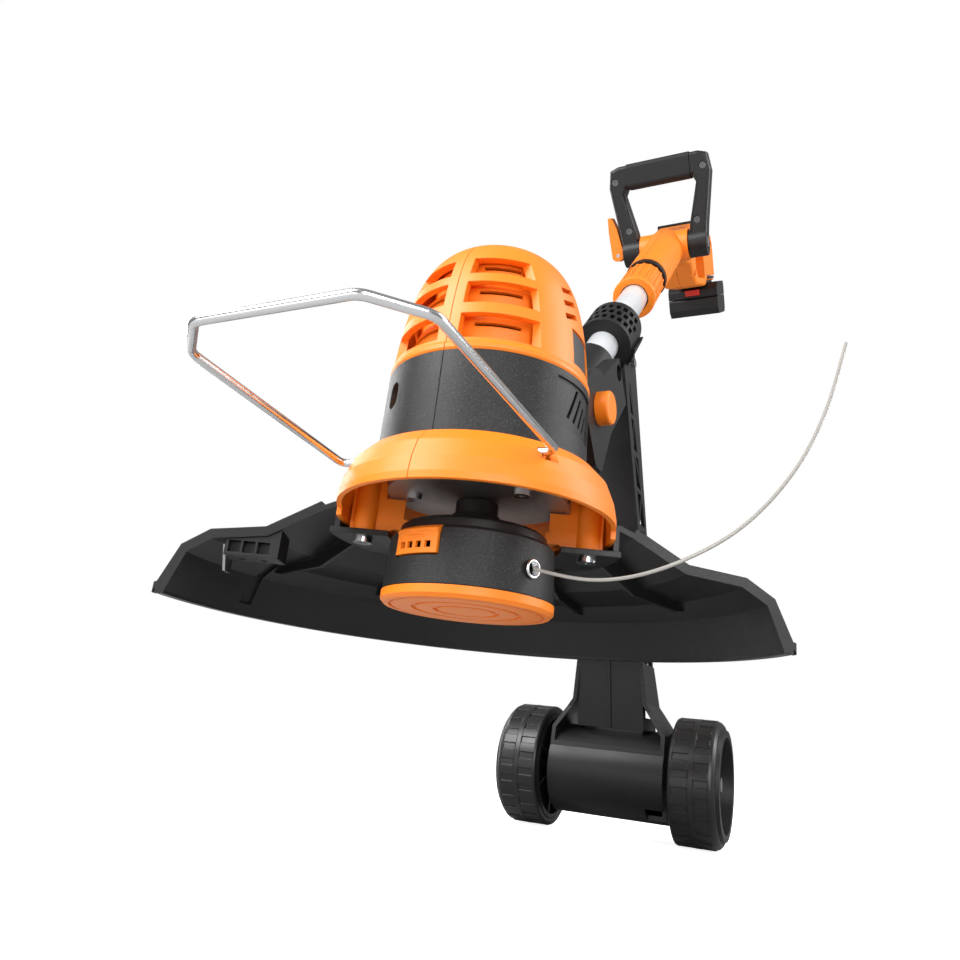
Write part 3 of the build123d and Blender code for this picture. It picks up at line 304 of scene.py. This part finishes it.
ribs_tree, ribs_sockets, given, result = tree_of_nodes(
    "ribs round a sleeve", [("Ribs", "NodeSocketInt"), ("Ribs Radius", "NodeSocketFloat"),
                            ("Rib Size", "NodeSocketVector"), ("Height", "NodeSocketFloat"),
                            ("Plastic", "NodeSocketMaterial")])
node, wire = ribs_tree.nodes.new, ribs_tree.links.new
circle = node("GeometryNodeMeshCircle")
wire(given.outputs["Ribs"], circle.inputs["Vertices"])
wire(given.outputs["Ribs Radius"], circle.inputs["Radius"])
lift = node("ShaderNodeCombineXYZ")
wire(given.outputs["Height"], lift.inputs["Z"])
spot = node("GeometryNodeInputPosition")
outward = node("FunctionNodeAlignRotationToVector")
outward.axis = "X"
wire(spot.outputs[0], outward.inputs["Vector"])
rib = node("GeometryNodeMeshCube")
wire(given.outputs["Rib Size"], rib.inputs["Size"])
place_ribs = node("GeometryNodeInstanceOnPoints")
wire(circle.outputs["Mesh"], place_ribs.inputs["Points"])
wire(rib.outputs["Mesh"], place_ribs.inputs["Instance"])
wire(outward.outputs["Rotation"], place_ribs.inputs["Rotation"])
raise_ribs = node("GeometryNodeTransform")
wire(place_ribs.outputs["Instances"], raise_ribs.inputs["Geometry"])
wire(lift.outputs[0], raise_ribs.inputs["Translation"])
both = node("GeometryNodeJoinGeometry")
wire(given.outputs["Geometry"], both.inputs[0])
wire(raise_ribs.outputs["Geometry"], both.inputs[0])
solid = node("GeometryNodeRealizeInstances")
wire(both.outputs[0], solid.inputs[0])
dressed = node("GeometryNodeSetMaterial")
wire(solid.outputs[0], dressed.inputs["Geometry"])
wire(given.outputs["Plastic"], dressed.inputs["Material"])
wire(dressed.outputs[0], result.inputs[0])


def lathe(name, profile, centre, axis, steps=64):
    """A turned mesh: (radius, along) pairs in metres, turned about the axis through the centre."""
    mesh = bmesh.new()
    frame_of_axis = Vector((0, 0, 1)).rotation_difference(Vector(axis)).to_matrix()
    rings = []
    for radius, along in profile:
        ring = []
        for step in range(steps):
            angle = 2 * pi * step / steps
            local = Vector((radius * cos(angle), radius * sin(angle), along))
            ring.append(mesh.verts.new(Vector(centre) + frame_of_axis @ local))
        rings.append(ring)
    for low, high in zip(rings, rings[1:] + rings[:1]):
        for step in range(steps):
            after = (step + 1) % steps
            mesh.faces.new((low[step], low[after], high[after], high[step]))
    bmesh.ops.recalc_face_normals(mesh, faces=mesh.faces)
    data = bpy.data.meshes.new(name)
    mesh.to_mesh(data)
    mesh.free()
    data.polygons.foreach_set("use_smooth", [True] * len(data.polygons))
    piece = bpy.data.objects.new(name, data)
    scene.collection.objects.link(piece)
    return piece


def bake(piece, matrix):
    """Turns a piece's modifiers into a plain mesh and moves that mesh; the object stays unturned."""
    bpy.context.view_layer.update()
    data = bpy.data.meshes.new_from_object(piece.evaluated_get(bpy.context.evaluated_depsgraph_get()))
    piece.modifiers.clear()
    piece.data = data
    data.transform(matrix)


def joint_of(name):
    """A joint of the record, by its name."""
    return next(joint for joint in frame["record"]["behaviour"]["joints"] if joint["name"] == name)


nut_joint = joint_of("lock_nut_turn")
nut_frame = Matrix.Translation(nut_joint["pos_m"]) @ Vector((0, 0, 1)).rotation_difference(
    Vector(nut_joint["axis"])).to_matrix().to_4x4()
nut_profile = [(r * MM, z * MM) for r, z in (
    (13.2, 0.4), (13.6, 0), (18.6, 0), (19.6, 0.5), (20, 1.6), (19.7, 3), (18.9, 8), (18.5, 14), (18.3, 40),
    (18.3, 53), (18.0, 54), (17.1, 54), (17.1, 5.4), (13.2, 5.4))]
lock_nut = lathe("ribbed_lock_nut", nut_profile, (0, 0, 0), (0, 0, 1), 96)
ribs = lock_nut.modifiers.new("ribs", "NODES")
ribs.node_group = ribs_tree
for label, value in (("Ribs", 18), ("Ribs Radius", 18.4 * MM), ("Height", 31 * MM), ("Plastic", orange),
                     ("Rib Size", (2.4 * MM, 1.9 * MM, 40 * MM))):
    ribs[ribs_sockets[label]] = value
rounding = lock_nut.modifiers.new("rounding", "BEVEL")
edge_radius = 0.35 * MM
rounding.width, rounding.segments, rounding.limit_method = edge_radius, 2, "ANGLE"
bake(lock_nut, nut_frame)
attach(lock_nut, "lock_nut")
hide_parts("lock_nut")


# Line eyelet --------------------------------------------------------------------------------------
# A zinc plated ring in the drum's wall that the line runs out through. Its rolled rim stands
# proud of the drum and its throat narrows inwards.
def rolled(radius, thickness, along, start, stop, steps=10):
    """Points on an arc of a rim's cross section, from one angle to another in degrees."""
    return [(radius + thickness * cos(radians(start + (stop - start) * i / steps)),
             along + thickness * sin(radians(start + (stop - start) * i / steps))) for i in range(steps + 1)]


eyelet_turn = radians(68.5)
eyelet_out = Vector((sin(eyelet_turn), -cos(eyelet_turn), 0))
eyelet_reach, eyelet_height = 42.9, 18.5    # mm out from the spool's axis, and up from the cap
eyelet_centre = eyelet_out * eyelet_reach * MM + Vector((0, 0, eyelet_height * MM))
eyelet_profile = [(3.4 * MM, -4 * MM), (3.5 * MM, -0.4 * MM)]
eyelet_profile += [(r * MM, a * MM) for r, a in rolled(3.9, 0.75, 0.1, -30, 170)]
eyelet_profile += [(2.5 * MM, -1.2 * MM), (2.05 * MM, -2.4 * MM), (2.0 * MM, -4 * MM)]
eyelet_ring = lathe("eyelet_ring", eyelet_profile, eyelet_centre, eyelet_out)


# Soft parts ---------------------------------------------------------------------------------------
# The grips are a soft rubber moulded over the hard shells; the tyres are a slightly softer plastic
# with a satin sheen on their rounded outer shoulders.
soft_grip = moulded("soft grip", (0.012, 0.012, 0.0125), (0.04, 0.04, 0.04), 0.55, 1300, 0.25, 0.1,
                    specular=0.35)
wear(soft_grip, "rear_grip", "loop_grip")
tyre_plastic = moulded("tyre plastic", (0.009, 0.009, 0.009), (0.03, 0.03, 0.03), 0.30, 1200, 0.10, 0.1,
                       edge=0.0009)
wear(tyre_plastic, "tyre_left", "tyre_right")


# Metal --------------------------------------------------------------------------------------------
# Zinc plated screws and clips, turned steel inside, handle screws darkened as painted shade of their
# recesses, a cast aluminium motor plate, and the shaft: an aluminium tube with a smooth white coat.
def metal(name, colour, roughness):
    """A metal whose roughness drifts a little over its surface."""
    material, nodes, links, shader = new_material(name)
    shader.inputs["Base Color"].default_value = (*colour, 1)
    shader.inputs["Metallic"].default_value = 1
    cloud = nodes.new("ShaderNodeTexNoise")
    cloud.inputs["Scale"].default_value = 220
    spread = nodes.new("ShaderNodeMapRange")
    spread.inputs["To Min"].default_value = roughness * 0.8
    spread.inputs["To Max"].default_value = roughness * 1.3
    where = nodes.new("ShaderNodeTexCoord")
    links.new(where.outputs["Object"], cloud.inputs["Vector"])
    links.new(cloud.outputs["Fac"], spread.inputs["Value"])
    links.new(spread.outputs[0], shader.inputs["Roughness"])
    return material


zinc = metal("zinc plate", (0.74, 0.75, 0.76), 0.20)
steel = metal("turned steel", (0.42, 0.42, 0.43), 0.30)
cast = metal("cast aluminium", (0.36, 0.35, 0.34), 0.45)
# Painted shade: the handle screws' metal is made dark to stand in for the shade of the recesses they sit in.
screw_with_painted_shade = metal("screw darkened as painted shade", (0.10, 0.10, 0.105), 0.28)
wear(screw_with_painted_shade, "loop_screws", "handle_screws")
eyelet_ring.data.materials.append(zinc)
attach(eyelet_ring, "spool")
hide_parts("line_eyelet")
wear(zinc, "head_screws", "guard_screws", "tube_bolts", "axle_clips", "tilt_pin")
wear(steel, "motor_can", "motor_rotor", "motor_bearings", "axle", "boss_bolt", "line_blade", "spool_spring",
     "tilt_spring", "battery_cells")
wear(cast, "motor_plate")
white_coat, _, _, shader = new_material("white coat")
shader.inputs["Base Color"].default_value = (0.62, 0.64, 0.66, 1)
shader.inputs["Roughness"].default_value = 0.22
shader.inputs["Coat Weight"].default_value = 0.5
wear(white_coat, "lower_tube")
wear(clear_nylon, "wound_line")


# Plant guard --------------------------------------------------------------------------------------
# One piece of 4 mm zinc plated wire, bent cold in six places: it hooks into the skirt on both
# sides, runs forward and closes with a straight bar that keeps plants away from the line.
def bent_path(points, radii, steps=10):
    """The points of a wire's middle, with an arc of that radius at each bend."""
    path = [Vector(points[0])]
    for before, here, after, radius in zip(points, points[1:], points[2:], radii):
        here = Vector(here)
        back, on = (Vector(before) - here).normalized(), (Vector(after) - here).normalized()
        half_angle = back.angle(on) / 2
        trim = radius / tan(half_angle)
        centre = here + (back + on).normalized() * radius / sin(half_angle)
        first, last = here + back * trim - centre, here + on * trim - centre
        path += [centre + first.normalized().slerp(last.normalized(), i / steps) * radius
                 for i in range(steps + 1)]
    return path + [Vector(points[-1])]


wire_radius, bend_radii = 2 * MM, (4, 9, 9, 9, 9, 4)
wire_points = [(47, -42, 66), (57, -42, 66), (54, -152, 72.5), (35, -170, 73.5)]
wire_points += [(-x, y, z) for x, y, z in reversed(wire_points)]
wire_curve = bpy.data.curves.new("wire_plant_guard", "CURVE")
wire_curve.dimensions = "3D"
wire_curve.bevel_depth = wire_radius
wire_curve.bevel_resolution = 7
wire_curve.use_fill_caps = True
bends = bent_path(wire_points, bend_radii)
bar = wire_curve.splines.new("POLY")
bar.points.add(len(bends) - 1)
for point, place_mm in zip(bar.points, bends):
    point.co = (*(place_mm * MM), 1)
wire_guard = bpy.data.objects.new("wire_plant_guard", wire_curve)
scene.collection.objects.link(wire_guard)
wire_mesh = bpy.data.meshes.new_from_object(wire_guard)
bpy.data.objects.remove(wire_guard)
wire_mesh.polygons.foreach_set("use_smooth", [True] * len(wire_mesh.polygons))
wire_guard = bpy.data.objects.new("wire_plant_guard", wire_mesh)
scene.collection.objects.link(wire_guard)
wire_mesh.materials.append(zinc)
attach(wire_guard, "plant_guard")
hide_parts("plant_guard")


# Small coloured parts -----------------------------------------------------------------------------
# The reel is natural nylon, the plate on the cover's side is a dark blank one, and the battery's
# release button is red.
natural = moulded("natural nylon", (0.75, 0.73, 0.66), (0.85, 0.83, 0.78), 0.45, 1500, 0.1, 0.2)
wear(natural, "line_reel")
plate_black = moulded("plate black", (0.03, 0.03, 0.032), (0.06, 0.06, 0.06), 0.5, 2500, 0.1, 0.2)
wear(plate_black, "label_plate")
red = moulded("red plastic", (0.70, 0.02, 0.010), (0.8, 0.1, 0.05), 0.30, 1500, 0.05, 0.1)
wear(red, "battery_button")
